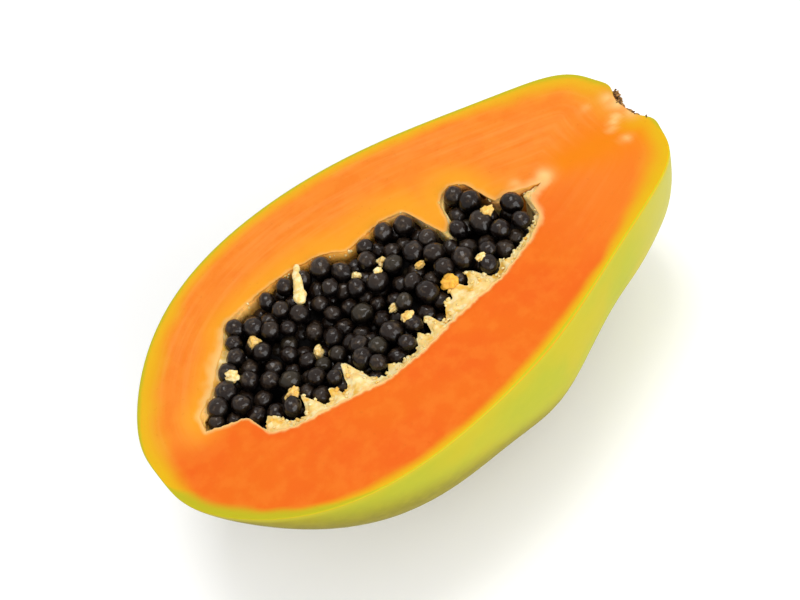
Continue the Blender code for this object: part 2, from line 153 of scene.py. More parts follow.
# from a direction out of the middle of the fruit to the point of the rind there
def fruitPoint(dx, dy, dz):
    ring = min(1.0, math.hypot(dy, dz))
    bend = ring ** (1 / fruit["bluntness"])
    tau = math.atan2(bend, -math.copysign(math.sqrt(1 - bend * bend), dx))
    share = (1 - math.cos(tau)) / 2
    half = fruit["halfWidth"] * ring * waves(tau, fruit["widthWaves"])
    alpha = math.atan2(-dz, dy)
    rib = 1 + fruit["ribs"][1] * math.cos(fruit["ribs"][0] * alpha) * ring
    x = fruit["length"] * share
    swell = sum(hill(x, shape) for shape in fruit["swells"])
    swell *= bump(alpha, math.pi - fruit["swellAngle"], fruit["swellSpread"])
    side = (half * (1 + fruit["sideSwell"] * math.sin(alpha)) * rib + swell) * math.cos(alpha)
    deep = (half * fruit["depthShare"] * waves(tau, fruit["depthWaves"]) * rib + swell) * math.sin(alpha)
    if dx > 0:
        scar = fruit["scar"]
        fromPole = math.hypot(side, deep) / scar["radius"]
        x -= scar["depth"] * math.exp(-(fromPole ** 4))
        x += scar["lip"] * bump(fromPole, scar["lipPlace"], scar["lipWidth"])
    return Vector((x, side - fruit["bend"] * (1 - share) ** 3, -deep))


def nearEdge(x):
    return readLine(hollow["fleshEdge"], x)


def farEdge(x):
    return readLine(hollow["farEdge"], x)


# 0 at the bare flesh near the blossom tip and in the slit, 1 where the pale lining is whole
def liningFade(x):
    starts = (x - hollow["fleshEdge"][1][0]) / hollow["liningStarts"]
    ends = (hollowEnd - x) / hollow["liningEnds"]
    return max(0.0, min(1.0, starts, ends))


def liningEdge(x):
    reach = hollow["liningWidth"] * liningFade(x)
    for tooth in hollow["teeth"]:
        reach += hill(x, tooth)
    crumbs = noise.noise(Vector((x / hollow["crumbleStep"], 3.0, 0.0))) * hollow["crumbleGain"]
    reach += hollow["crumble"] * crumbs
    room = farEdge(x) - nearEdge(x)
    return nearEdge(x) + max(0.0, min(reach, hollow["mostLining"] * room))


def hollowDepth(x):
    share = (x - hollowStart) / (hollowEnd - hollowStart)
    room = farEdge(x) - liningEdge(x)
    floor = hollow["depth"] * max(0.0, math.sin(math.pi * share)) ** hollow["fullness"]
    return min(floor, hollow["depthLimit"] * room)


# the hollow's wall: turn runs from 0 at the near lining to half a circle at the far edge
def hollowWall(x, turn):
    flake = max(0.0, 1 - turn / hollow["flakeTurn"])
    near = nearEdge(x) + hollow["liningWidth"] * liningFade(x)
    near += (liningEdge(x) - near) * flake
    far = farEdge(x)
    across = (1 - math.cos(turn)) / 2
    rim = -hollow["drop"] * (1 - across) * min(1.0, (far - near) / hollow["narrow"])
    deep = hollowDepth(x) * max(0.0, math.sin(turn)) ** hollow["bluntness"]
    return Vector((x, near + (far - near) * across, rim - deep))


# sRGB hex to linear
def colour(code):
    channels = [int(code[i:i + 2], 16) / 255 for i in (1, 3, 5)]
    return [c / 12.92 if c <= 0.04045 else ((c + 0.055) / 1.055) ** 2.4 for c in channels] + [1.0]


# adds a node with its settings; an input is given a value or linked to another node's output
def addNode(tree, kind, inputs=None, **settings):
    node = tree.nodes.new("ShaderNode" + kind)
    for key, value in settings.items():
        setattr(node, key, value)
    for key, value in (inputs or {}).items():
        if isinstance(value, bpy.types.NodeSocket):
            tree.links.new(value, node.inputs[key])
        else:
            node.inputs[key].default_value = value
    return node


# an empty material, its node tree and the Object coordinates in it
def newMaterial(name):
    material = bpy.data.materials.new(name)
    material.use_nodes = True
    tree = material.node_tree
    tree.nodes.clear()
    return material, tree, addNode(tree, "TexCoord").outputs["Object"]


# Ripe papaya flesh, knife-cut: wet and slightly translucent, softly streaked along the rind
fleshLook = {
    "name": "papaya flesh, knife-cut",
    "tones": {
        "near": "#dc650f", "nearRed": "#dc5a12", "far": "#e27e24", "farPale": "#e59044", "gold": "#e69b1e",
        "core": "#df7a04", "cream": "#e6bd78", "yellow": "#d4a70e", "green": "#aaa81c", "lining": "#ecca7e",
        "liningPale": "#f0dca4", "liningGold": "#e2b14a", "fold": "#b65c0c", "shade": "#7a4a14",
    },
    "marks": (
        "farSide", "gold", "core", "paleSpot", "yellowRim", "greenRim", "cream", "pulp", "fold", "shade",
    ),
    "fades": {},
    "patterns": {
        "redPatches": (24, 2.0, 0.5, 0.36, 0.66, 0.7),
        "paleStreaks": (2.4, 3.0, 0.55, 0.40, 0.72, 0.4),
        "lightMottle": (5.0, 4.0, 0.6, 0.40, 0.66, 0.3),
        "darkSpecks": (1.2, 2.0, 0.5, 0.66, 0.74, 0.14),
        "flecks": (2.2, 3.0, 0.5, 0.42, 0.62, 1.0),
        "golden": (3.2, 2.0, 0.5, 0.50, 0.68, 1.0),
    },
    "layers": (
        ("near", ("redPatches", "nearRed"), ("lightMottle", "far")),
        ("farSide", ("far", ("lightMottle", "near"), ("paleStreaks", "farPale"))),
        ("gold", "gold"), ("core", "core"), ("yellowRim", "yellow"), ("greenRim", "green"),
        ("paleSpot", "cream"), ("darkSpecks", "fold"), ("cream", "cream"),
        ("pulp", ("lining", ("flecks", "liningPale"), ("golden", "liningGold"))),
        # fold is painted shade low in the fold and the slit; its tone also colours the real dark specks
        ("fold", "fold"), ("shade", "shade"),
    ),
    "grains": ((0.9, 0.0), (5.0, 0.35)),
    "bump": (0.2, 0.25),
    "surface": {
        "Roughness": 0.5, "IOR": 1.36, "Specular IOR Level": 0.14, "Subsurface Weight": 0.2,
        "Subsurface Radius": (1.0, 0.35, 0.12), "Subsurface Scale": 2.0 * mm,
    },
}

# Ripening papaya skin: thin, smooth and waxy, with a soft sheen and faint green clouds
rindLook = {
    "name": "papaya skin, waxy",
    "tones": {
        "khaki": "#a79b16", "green": "#9a9b1e", "under": "#786e07", "edge": "#aaa01c", "stem": "#a4a152",
        "cork": "#7a4f20", "corkPale": "#d9b276", "lip": "#86946a",
    },
    "marks": ("stemSide", "under", "skinEdge", "lipStain", "scar"),
    "fades": {},
    "patterns": {
        "clouds": (26, 3.0, 0.5, 0.36, 0.64, 1.0),
        "mottle": (3.0, 4.0, 0.6, 0.35, 0.80, 0.25),
        "corkGrain": (1.2, 4.0, 0.6, 0.42, 0.60, 1.0),
    },
    "layers": (
        # painted shade: the rind turns darker olive towards its underside and the blossom end
        "khaki", ("clouds", "green"), ("stemSide", "stem"), ("under", "under"), ("mottle", "edge"),
        ("skinEdge", "edge"), ("lipStain", "lip"), ("scar", ("cork", ("corkGrain", "corkPale"))),
    ),
    "grains": ((0.8, 0.0), (7.0, 0.2)),
    "bump": (0.2, 0.3),
    "surface": {
        "Roughness": 0.5, "IOR": 1.42, "Specular IOR Level": 0.14, "Subsurface Weight": 0.1,
        "Subsurface Radius": (1.0, 0.8, 0.2), "Subsurface Scale": 1.5 * mm,
    },
}

# Papaya seeds in their skin of clear gel: black below, with painted light on their tops in brown, grey and
# olive by seed, and patches of painted sheen
seedLook = {
    "name": "papaya seed in gel",
    "tones": {
        "dark": "#060404", "brown": "#1c110b", "grey": "#2b2018", "olive": "#2e281b", "paintedSheen": "#6a5843",
    },
    # top marks each seed's upward side, where painted light and painted sheen lie over the black
    "marks": ("tint", "top"),
    "fades": {"greyed": ("tint", 0.2, 0.9, 1.0), "olived": ("tint", 0.9, 1.0, 0.8)},
    "patterns": {"paintedSheen": (1.3, 2.0, 0.5, 0.52, 0.7, 0.3)},
    "layers": ("dark", ("top", ("brown", ("greyed", "grey"), ("olived", "olive"), ("paintedSheen", "paintedSheen")))),
    "grains": ((0.9, 0.0),),
    "bump": (0.7, 0.35),
    "surface": {
        "Roughness": 0.28, "IOR": 1.4, "Specular IOR Level": 0.14,
        "Coat Weight": 0.7, "Coat Roughness": 0.09, "Coat IOR": 1.36,
    },
}

# Seed-stalk pulp: soft pale tissue torn off the lining, moist and slightly translucent
pulpLook = {
    "name": "papaya pulp, torn",
    "tones": {"pale": "#e8c67a", "white": "#f0dda6", "gold": "#e0a32a"},
    "marks": ("tint",),
    "fades": {"gilded": ("tint", 0.45, 0.9, 1.0)},
    "patterns": {"clots": (1.2, 2.0, 0.5, 0.42, 0.62, 1.0)},
    "layers": ("pale", ("clots", "white"), ("gilded", "gold")),
    "grains": ((0.5, 0.0),),
    "bump": (0.4, 0.2),
    "surface": {
        "Roughness": 0.5, "IOR": 1.36, "Specular IOR Level": 0.3, "Subsurface Weight": 0.3,
        "Subsurface Radius": (1.0, 0.7, 0.35), "Subsurface Scale": 1.2 * mm,
    },
}


# layers of tones: the lowest one, then pairs of a mask and what lies over it there
def layTones(tree, tones, masks, layers):
    if isinstance(layers, str):
        return colour(tones[layers])
    base = layTones(tree, tones, masks, layers[0])
    for mask, over in layers[1:]:
        hue = layTones(tree, tones, masks, over)
        base = addNode(tree, "Mix", {0: masks[mask], 6: base, 7: hue}, data_type="RGBA").outputs[2]
    return base


# A material from its look. Marks are attributes of the mesh. Fades are a mark, its range and the most
# it reaches. Patterns are size in mm, detail, roughness, range and most. Grains are size in mm and the
# strength of the finer ones on them. The bump is strength and distance in mm.
def lookMaterial(look):
    material, tree, place = newMaterial(look["name"])
    masks = {
        mark: addNode(tree, "Attribute", attribute_name=mark).outputs["Fac"] for mark in look["marks"]
    }
    spans = [(mask, masks[mark], span) for mask, (mark, *span) in look["fades"].items()]
    for mask, (size, detail, rough, *span) in look["patterns"].items():
        vector, scale = place, 1 / (size * mm)
        if mask == "paleStreaks":  # these run along the rind
            vector, scale = addNode(tree, "Attribute", attribute_name="grain").outputs["Vector"], 1 / size
        pattern = addNode(
            tree, "TexNoise", {"Vector": vector, "Scale": scale, "Detail": detail, "Roughness": rough}
        )
        spans.append((mask, pattern.outputs["Fac"], span))
    for mask, value, (low, high, most) in spans:
        masks[mask] = addNode(
            tree, "MapRange", {"Value": value, "From Min": low, "From Max": high, "To Max": most},
            interpolation_type="SMOOTHSTEP",
        ).outputs[0]
    height = 0.0
    for size, finer in look["grains"]:
        grains = addNode(tree, "TexNoise", {"Vector": place, "Scale": 1 / (size * mm)}).outputs["Fac"]
        height = addNode(
            tree, "Math", {0: height, 1: finer, 2: grains}, operation="MULTIPLY_ADD"
        ).outputs[0]
    strength, distance = look["bump"]
    relief = addNode(tree, "Bump", {"Strength": strength, "Distance": distance * mm, "Height": height})
    shader = addNode(
        tree, "BsdfPrincipled",
        {
            "Base Color": layTones(tree, look["tones"], masks, look["layers"]),
            "Normal": relief.outputs["Normal"], **look["surface"],
        },
    )
    addNode(tree, "OutputMaterial", {"Surface": shader.outputs[0]})
    return material


plainLooks = {
    # painted shade: a black-brown, wet sheet under the seeds that darkens the gaps between them
    "seed gel, painted shade": {
        "dark": "#040303", "pale": "#0b0706", "grain": 2.0, "fade": (0.0, 1.0),
        "surface": {"Roughness": 0.5, "IOR": 1.38, "Specular IOR Level": 0.08},
    },
    # brown, corky and matt
    "stem fibre, dry": {
        "dark": "#4a2c10", "pale": "#a3763a", "grain": 0.8, "fade": (0.4, 0.6),
        "surface": {"Roughness": 0.8, "IOR": 1.45},
    },
}


# a material of one dark and one paler tone in grains
def plainMaterial(name):
    look = plainLooks[name]
    material, tree, place = newMaterial(name)
    grains = addNode(tree, "TexNoise", {"Vector": place, "Scale": 1 / (look["grain"] * mm)})
    low, high = look["fade"]
    factor = addNode(
        tree, "MapRange", {"Value": grains.outputs["Fac"], "From Min": low, "From Max": high}
    ).outputs[0]
    base = addNode(
        tree, "Mix", {0: factor, 6: colour(look["dark"]), 7: colour(look["pale"])}, data_type="RGBA"
    ).outputs[2]
    shader = addNode(tree, "BsdfPrincipled", {"Base Color": base, **look["surface"]})
    addNode(tree, "OutputMaterial", {"Surface": shader.outputs[0]})
    return material


# the rind's nearest y, to find where the fruit's axes lie in the row frame
def measureRind():
    low = 1e9
    for step in range(721):
        angle = math.pi * step / 720
        for lift in range(61):
            v = math.pi / 2 * lift / 60
            point = fruitPoint(math.cos(angle) * math.cos(v), -math.sin(angle) * math.cos(v), -math.sin(v))
            low = min(low, point.y)
    return low


shiftY = nearY - measureRind() * mm


# from the fruit's axes in mm to the row frame in metres
def rowPlace(point):
    return Vector((blossomX + point.x * mm, shiftY + point.y * mm, cutZ + point.z * mm))


# links the finished mesh as a piece
def addPiece(name, bm, materials, replaced=()):
    mesh = bpy.data.meshes.new(name)
    bmesh.ops.recalc_face_normals(bm, faces=bm.faces)
    bm.to_mesh(mesh)
    bm.free()
    for material in materials:
        mesh.materials.append(material)
    mesh.shade_smooth()
    piece = bpy.data.objects.new(name, mesh)
    bpy.context.scene.collection.objects.link(piece)
    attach(piece, "root")
    for node in replaced:
        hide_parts(node)
    return piece


flesh = {
    "around": 640,
    "wallRings": 20,
    "liningRings": 22,
    "faceRings": 34,
    "edgeRings": 4,
    "skinRings": 44,
    "cap": 0.08,  # share of the columns that fan out at each end of the hollow
    "capStart": 0.01,
    "middle": 74,  # where the columns meet on the hollow's floor
    "cornerRound": 1.4,
    "cornerFade": 12,
    # how far the columns lean out to the blossom end and to the stem end, and over which x
    "blossomLean": (9.5, -46, -16),
    "stemLean": 27.0,
    "stemLeanFrom": (106, 129),
    "stemLeanPower": 1.5,
    "evenShare": 0.25,
    "evenStart": 7.0,
    "evenLength": 149.5,
    "edgeRound": 0.3,
    "edgeFuzz": 0.45,
    # noises here are strength, size and seed
    "edgeLumps": ((1.0, 1.3, 25.0), (0.5, 0.5, 27.0)),
    "edgeFade": 10,
    "skinStart": 0.008,
    "skinSpread": 1.25,
    "grainTurns": 4.2,  # streaks along the rind for each radian round the face
    # how wide the far lining slopes, where, how long
    "bank": ((3.0, 28, 10), (1.4, 101, 5), (0.8, 120, 4)),
    "bankLeast": 0.35,
    "bankDrop": 1.3,
    "bankMost": 0.25,
    "bankLean": 0.25,
    "bankReach": 1.4,
    "wallLumps": ((0.5, 2.2, 0.0),),
    "liningSag": 0.3,
    "liningRough": 0.5,
    "farRough": 0.6,
    "heave": (((0.4, 1.4, 17.0),), ((1.0, 1.4, 13.0),), ((1.2, 2.2, 5.0), (0.4, 0.8, 9.0))),
    "faceBow": 0.15,
    "rollOff": (0.2, 0.6),
    "sag": 0.12,
    "sagSize": 13.0,
    "sagFromHollow": 6,
    "sagFromRind": 4,
    "scarEdge": (5.2, 7.4),
    "scarLumps": ((0.6, 0.9, 3.0),),
    "stemHalf": 120,
    # yellow and green under the rind, in mm: near side, far side, and what the two ends add
    "rim": {
        "yellow": {"near": 2.2, "far": 3.4, "nearStem": 4.0, "farStem": 3.6, "blossom": 3.0},
        "green": {"near": 0.2, "far": 1.0, "farStem": 0.7, "blossom": 3.0, "lip": 1.2},
        "farSide": (-6, 18),
        "stemEnd": (122, 158),
        "blossomEnd": (8, 46),
        "yellowTip": (-20, -4),
        "greenNear": (6, 16),
        "ripple": ((0.25, 7.0, 2.0),),
        "yellowFade": (0.1, 1.5),
        "greenFade": (0.3, 1.4),
        "farLess": 0.08,
        "greenMost": 0.9,
        "scar": (163, 1.5, 7.5),
        "lip": (164, -10, 3.4),
    },
    # tones of the cut face; a bump is height, place and width
    "farSide": (-9, 5),
    "farRipple": ((3, 9.0, 0.0),),
    "stemPale": (0.5, 110, 142),
    "fuzz": ((0.5, 2.6, 4.0),),
    "gold": {"most": 0.8, "start": 1.0, "width": 9.0, "wider": (6.0, 88, 26), "end": (112, 132)},
    "cream": {
        "most": 0.85, "width": 0.8, "wider": ((1.0, 122, 6), (3.2, 130, 4)),
        "farLess": 0.4, "farMore": (0.4, 27, 16), "farWidth": 0.3, "farWider": (2.4, 27, 10),
    },
    "core": {
        "line": ((126, -2.4), (138, -2.4), (144.8, -4.6), (151.2, -5.3), (159.4, -8.1)),
        "start": (126, 138), "width": 4.9, "wider": (3.0, 134, 150),
    },
    "paleSpots": (
        (154.6, 7.8, 1.3, 0.35), (154.6, -3.4, 1.3, 0.6), (156.4, -2.0, 1.4, 0.7), (158.4, -1.0, 1.8, 0.7),
        (154.9, -8.9, 1.5, 0.6), (162.4, 2.6, 3.0, 0.95), (162.6, -2.8, 2.4, 0.8), (161.0, 6.0, 2.0, 0.7),
        (131.2, -2.2, 2.6, 0.8), (123.6, 1.6, 1.8, 0.5),
    ),
    # tones of the lining and the wall below it
    "nearTone": {"cream": 0.85, "gold": 0.0, "farSide": 0.0},
    "farTone": {"cream": 0.25, "gold": 0.9, "farSide": 1.0},
    "pulpLeast": 0.45,
    "pulpEnd": (0.86, 1.0),
    "pulpInSlit": 0.3,
    "inSlit": 0.8,
    "slit": (117.5, 120.5),
    # painted shade: darker orange in the fold and the slit, strongest low in the lining
    "fold": (0.8, 114.6, 2.2),
    "shade": (3.5, 12.0),
    # tones of the skin
    "stemSide": (0.7, 128, 160),
    # painted shade on the rind: slope, start and depth of the line below which it darkens
    "under": {"slope": 0.35, "from": 34, "depth": 14.0},
    "skinEdge": (0.4, 2.4),
    "lipStain": (0.8, 8.6, 1.6),
}


# places along an edge of the hollow, by share of its length, with its corners a little rounded
def edgePlaces(edge):
    steps = [0.0] + [math.dist(a, b) for a, b in zip(edge, edge[1:])]
    ends = list(accumulate(steps))
    fade = flesh["cornerFade"]

    def at(share):
        spot = max(0.0, min(1.0, share)) * ends[-1]
        index = min(len(edge) - 2, max(0, bisect_right(ends, spot) - 1))
        along = (spot - ends[index]) / (ends[index + 1] - ends[index])
        return Vector((*edge[index], 0.0)).lerp(Vector((*edge[index + 1], 0.0)), along)

    def rounded(share):
        reach = flesh["cornerRound"] / ends[-1] * min(1.0, fade * share, fade * (1 - share))
        return sum((at(share + reach * k) for k in (-1, -0.5, 0, 0.5, 1)), Vector()) / 5

    return rounded


# how a column's share of the way round one side becomes its share along the hollow's edge
def edgeShare(q):
    cap, start = flesh["cap"], flesh["capStart"]
    if q < cap:
        return start * (q / cap) ** 2
    if q > 1 - cap:
        return 1 - start * ((1 - q) / cap) ** 2
    return start + (1 - 2 * start) * (q - cap) / (1 - 2 * cap)


# direction in which a column meets the rind's cut line: straight across, fanned out at the ends
def outerDirection(q, rimX):
    cap, even = flesh["cap"], flesh["evenShare"]
    start, end = flesh["stemLeanFrom"]
    x = rimX - ramp(-rimX, flesh["blossomLean"])
    x += flesh["stemLean"] * smoothStep(rimX, start, end) ** flesh["stemLeanPower"]
    spread = min(1.0, max(0.0, (q - cap) / (1 - 2 * cap)))
    x = (1 - even) * x + even * (flesh["evenStart"] + flesh["evenLength"] * spread)
    share = x / fruit["length"]
    tau = math.acos(1 - 2 * share)
    ring = math.sin(tau) ** fruit["bluntness"]
    outer = min(q, 1 - q)
    if outer < cap:
        ring *= outer / cap
    c = math.sqrt(max(0.0, 1 - ring * ring))
    return (c if share > 0.5 else -c), ring


# trees that give the distance of a point on the cut face from the hollow and from the rind
def faceTrees(columns):
    trees = []
    for points in zip(*columns):
        tree = kdtree.KDTree(len(points))
        for index, point in enumerate(points):
            tree.insert(point, index)
        tree.balance()
        trees.append(tree)
    return trees


# yellow and green bands under the rind, 1 at the rind
def rimBands(point, fromRind):
    rim = flesh["rim"]
    yellow, green = rim["yellow"], rim["green"]
    far = smoothStep(point.y, *rim["farSide"])
    stemEnd = smoothStep(point.x, *rim["stemEnd"])
    blossomEnd = 1 - smoothStep(point.x, *rim["blossomEnd"])
    ripple = 1 + manyLumps(point, rim["ripple"])
    wide = yellow["near"] + (yellow["far"] - yellow["near"]) * far
    wide += stemEnd * (yellow["nearStem"] * (1 - far) + yellow["farStem"] * far)
    wide += yellow["blossom"] * blossomEnd * smoothStep(point.y, *rim["yellowTip"])
    thin = green["near"] + (green["far"] - green["near"]) * far
    thin += stemEnd * green["farStem"] * far
    thin += green["blossom"] * blossomEnd * smoothStep(-point.y, *rim["greenNear"])
    atScar, atLip = [
        bump(math.hypot(point.x - x, point.y - y), 0, size) for x, y, size in (rim["scar"], rim["lip"])
    ]
    thin += green["lip"] * atLip
    bands = []
    for band, fade, most in (
        (wide * ripple, rim["yellowFade"], 1 - rim["farLess"] * far),
        (thin * ripple, rim["greenFade"], rim["greenMost"]),
    ):
        bands.append(most * (1 - atScar) * (1 - smoothStep(fromRind, fade[0] * band, fade[1] * band)))
    return bands


# tones of a point on the cut face; reach is its distance from the hollow
def markFace(vert, layers, point, reach, fromRind):
    gold, cream, core = flesh["gold"], flesh["cream"], flesh["core"]
    farStart, farEnd = flesh["farSide"]
    far = smoothStep(point.y, farStart + manyLumps(point, flesh["farRipple"]), farEnd)
    fuzz = 1 + manyLumps(point, flesh["fuzz"])
    goldWide = gold["width"] + hill(point.x, gold["wider"])
    goldShare = gold["most"] * far * (1 - smoothStep(reach, gold["start"], goldWide))
    creamWide = cream["width"] + sum(hill(point.x, shape) for shape in cream["wider"])
    creamWide += (cream["farWidth"] + hill(point.x, cream["farWider"])) * far
    creamMost = cream["most"] - far * (cream["farLess"] - hill(point.x, cream["farMore"]))
    coreWide = core["width"] + ramp(point.x, core["wider"])
    spots = [
        most * bump(math.hypot(point.x - x, point.y - y), 0, size)
        for x, y, size, most in flesh["paleSpots"]
    ]
    yellowRim, greenRim = rimBands(point, fromRind)
    spine = readLine(core["line"], point.x)
    values = {
        "farSide": max(far, ramp(point.x, flesh["stemPale"])),
        "gold": goldShare * (1 - smoothStep(point.x, *gold["end"])),
        "core": smoothStep(point.x, *core["start"]) * bump(point.y, spine, coreWide),
        "paleSpot": max(spots) * fuzz,
        "yellowRim": yellowRim,
        "greenRim": greenRim,
        "cream": creamMost * (1 - smoothStep(reach, 0.0, creamWide * fuzz)),
    }
    for name, value in values.items():
        vert[layers[name]] = max(0.0, min(1.0, value))


# tones of a point in the hollow; share is how far up the lining it is
def markHollow(vert, layers, point, share, x, nearSide):
    whole = flesh["pulpLeast"] + (1 - flesh["pulpLeast"]) * liningFade(x)
    slit = fold = 0.0
    if not nearSide:
        whole *= max(bump(x, at, flesh["bankReach"] * long) for _, at, long in flesh["bank"])
        slit = smoothStep(x, *flesh["slit"])
        # painted shade in the slit and the fold
        fold = max(flesh["inSlit"] * slit, hill(x, flesh["fold"]))
    values = {
        **flesh["nearTone" if nearSide else "farTone"],
        "pulp": whole * (1 - smoothStep(share, *flesh["pulpEnd"])) * (1 - (1 - flesh["pulpInSlit"]) * slit),
        "fold": fold * (1 - share),
        "shade": smoothStep(-point.z, *flesh["shade"]),
    }
    for name, value in values.items():
        vert[layers[name]] = value


# tones of a point on the skin
def markSkin(vert, layers, point, fromPole, inScar):
    under = flesh["under"]
    below = -point.z - under["slope"] * (point.x - under["from"])
    vert[layers["scar"]] = inScar
    vert[layers["stemSide"]] = ramp(point.x, flesh["stemSide"])
    # painted shade, growing towards the rind's underside
    vert[layers["under"]] = smoothStep(below, 0.0, under["depth"])
    vert[layers["skinEdge"]] = 1 - smoothStep(-point.z, *flesh["skinEdge"])
    vert[layers["lipStain"]] = hill(fromPole, flesh["lipStain"])


# top of the far lining's slope, a little in from the rim and below it
def bankLip(rim, lateral):
    bank = flesh["bankLeast"] + sum(hill(rim.x, shape) for shape in flesh["bank"])
    room = farEdge(rim.x) - nearEdge(rim.x)
    bank = min(bank, flesh["bankMost"] * room) * lateral
    return Vector((rim.x + flesh["bankLean"] * bank, rim.y - bank, -flesh["bankDrop"] * min(1.0, bank)))


# a point of the hollow's wall or lining, and how far up the lining it is
def hollowPoint(step, rim, lateral, nearSide):
    rings = flesh["wallRings"]
    if step <= rings:
        share = 0.0
        phi = math.pi / 2 * step / rings
        x = flesh["middle"] + (rim.x - flesh["middle"]) * math.sin(phi)
        aside = -lateral if nearSide else lateral
        point = hollowWall(x, math.atan2(math.cos(phi), -aside * math.sin(phi)))
        if not nearSide:
            wallTop = Vector((rim.x, farEdge(rim.x), 0))
            point += (bankLip(rim, lateral) - wallTop) * math.sin(phi) ** 4
        point.z += manyLumps(point, flesh["wallLumps"]) * math.cos(phi)
    else:
        share = (step - rings) / flesh["liningRings"]
        point = (hollowWall(rim.x, 0.0) if nearSide else bankLip(rim, lateral)).lerp(rim, share)
        point.z -= flesh["liningSag"] * math.sin(math.pi * share)
    rough = flesh["liningRough"] * lateral * (1 - share ** 6) * (1.0 if nearSide else flesh["farRough"])
    point += Vector([manyLumps(point, lumpSet) for lumpSet in flesh["heave"]]) * rough
    point.z = min(point.z, 0.0)
    return point, share


# a point of the cut face before it sinks, in rings that crowd at both edges
def facePoint(step, rim, inset):
    share = (1 - math.cos(math.pi * step / flesh["faceRings"])) / 2
    bow = Vector((rim.x + flesh["faceBow"] * (inset.x - rim.x), (rim.y + inset.y) / 2, 0.0))
    return rim * (1 - share) ** 2 + bow * 2 * share * (1 - share) + inset * share * share


# how far the cut face lies below the knife's plane: rolled off at the hollow, dished between
def faceDrop(point, reach, fromRind):
    roll, rollWidth = flesh["rollOff"]
    sag = flesh["sag"] * (1 + lumps(point, flesh["sagSize"]))
    sag *= smoothStep(reach, 0, flesh["sagFromHollow"]) * smoothStep(fromRind, 0, flesh["sagFromRind"])
    return roll * math.exp(-reach / rollWidth) + sag


# the columns from the hollow to the rind: where each meets them, and its direction
def fleshColumns():
    nearPlaces, farPlaces = edgePlaces(hollow["fleshEdge"]), edgePlaces(hollow["farEdge"])
    columns = {}
    for index in range(-flesh["around"] // 2, flesh["around"] // 2 + 1):
        q = 1 - abs(index) / (flesh["around"] / 2)
        rim = (nearPlaces if index < 0 else farPlaces)(edgeShare(q))
        c, s = outerDirection(q, rim.x)
        s = math.copysign(s, index)
        fuzz = flesh["edgeFuzz"] * min(1.0, flesh["edgeFade"] * q, flesh["edgeFade"] * (1 - q))
        rim.y += fuzz * manyLumps(rim, flesh["edgeLumps"])
        columns[index] = (rim, fruitPoint(c, s, 0.0), c, s)
    return columns


# flesh and skin in one mesh of columns, each from the hollow's floor over the cut face to the belly
def buildFlesh():
    ringTotal = sum(flesh[key] for key in ("wallRings", "liningRings", "faceRings", "edgeRings", "skinRings"))
    faceAt = flesh["wallRings"] + flesh["liningRings"]
    edgeAt = faceAt + flesh["faceRings"]
    skinAt = edgeAt + flesh["edgeRings"]
    start = flesh["skinStart"]
    columns = fleshColumns()
    hollowRim, rindEdge = faceTrees([(rim, outer) for rim, outer, _, _ in columns.values()])

    bm = bmesh.new()
    bmesh.ops.create_grid(bm, x_segments=flesh["around"], y_segments=ringTotal, size=1)
    marks = fleshLook["marks"] + rindLook["marks"]
    layers = {name: bm.verts.layers.float.new(name) for name in marks}
    grainLayer = bm.verts.layers.float_vector.new("grain")
    rind = set()
    for vert in bm.verts:
        step = round((1 - vert.co.y) / 2 * ringTotal)
        index = round(vert.co.x * flesh["around"] / 2)
        rim, outer, c, s = columns[index]
        inset = outer + (rim - outer).normalized() * flesh["edgeRound"]
        if step <= faceAt:
            q = 1 - abs(index) / (flesh["around"] / 2)
            lateral = min(1.0, q / flesh["cap"], (1 - q) / flesh["cap"])
            point, share = hollowPoint(step, rim, lateral, index < 0)
            markHollow(vert, layers, point, share, rim.x, index < 0)
        elif step <= edgeAt:
            point = facePoint(step - faceAt, rim, inset)
            fromRind = rindEdge.find(point)[2]
            reach = hollowRim.find(point)[2]
            markFace(vert, layers, point, reach, fromRind)
            point.z -= faceDrop(point, reach, fromRind)
            turn = abs(math.atan2(point.y, point.x - fruit["length"] / 2))
            vert[grainLayer] = (flesh["grainTurns"] * turn, fromRind, 0.0)
        else:
            onSkin = step >= skinAt
            share = (step - skinAt) / flesh["skinRings"] if onSkin else 0.0
            v = start + (math.pi / 2 - start) * share ** flesh["skinSpread"]
            point = fruitPoint(c * math.cos(v), s * math.cos(v), -math.sin(v))
            fromPole = math.inf
            if onSkin:
                rind.add(vert)
                if point.x > flesh["stemHalf"]:
                    fromPole = math.hypot(point.y, point.z)
            else:
                a = (step - edgeAt) / flesh["edgeRings"]
                point = inset * (1 - a) ** 2 + outer * 2 * a * (1 - a) + point * a * a
                vert[layers["yellowRim"]], vert[layers["greenRim"]] = rimBands(point, 0.0)
            inScar = 1 - smoothStep(fromPole, *flesh["scarEdge"])
            point.x += inScar * manyLumps(point, flesh["scarLumps"])
            point.z = max(point.z, floorZ)
            markSkin(vert, layers, point, fromPole, inScar)
        vert.co = point
    for face in bm.faces:
        face.material_index = 1 if all(vert in rind for vert in face.verts) else 0
    for vert in bm.verts:
        vert.co = rowPlace(vert.co)
    bmesh.ops.remove_doubles(bm, verts=bm.verts, dist=0.002 * mm)
    return addPiece("papayaFlesh", bm, [lookMaterial(fleshLook), lookMaterial(rindLook)], replaced=["papaya"])


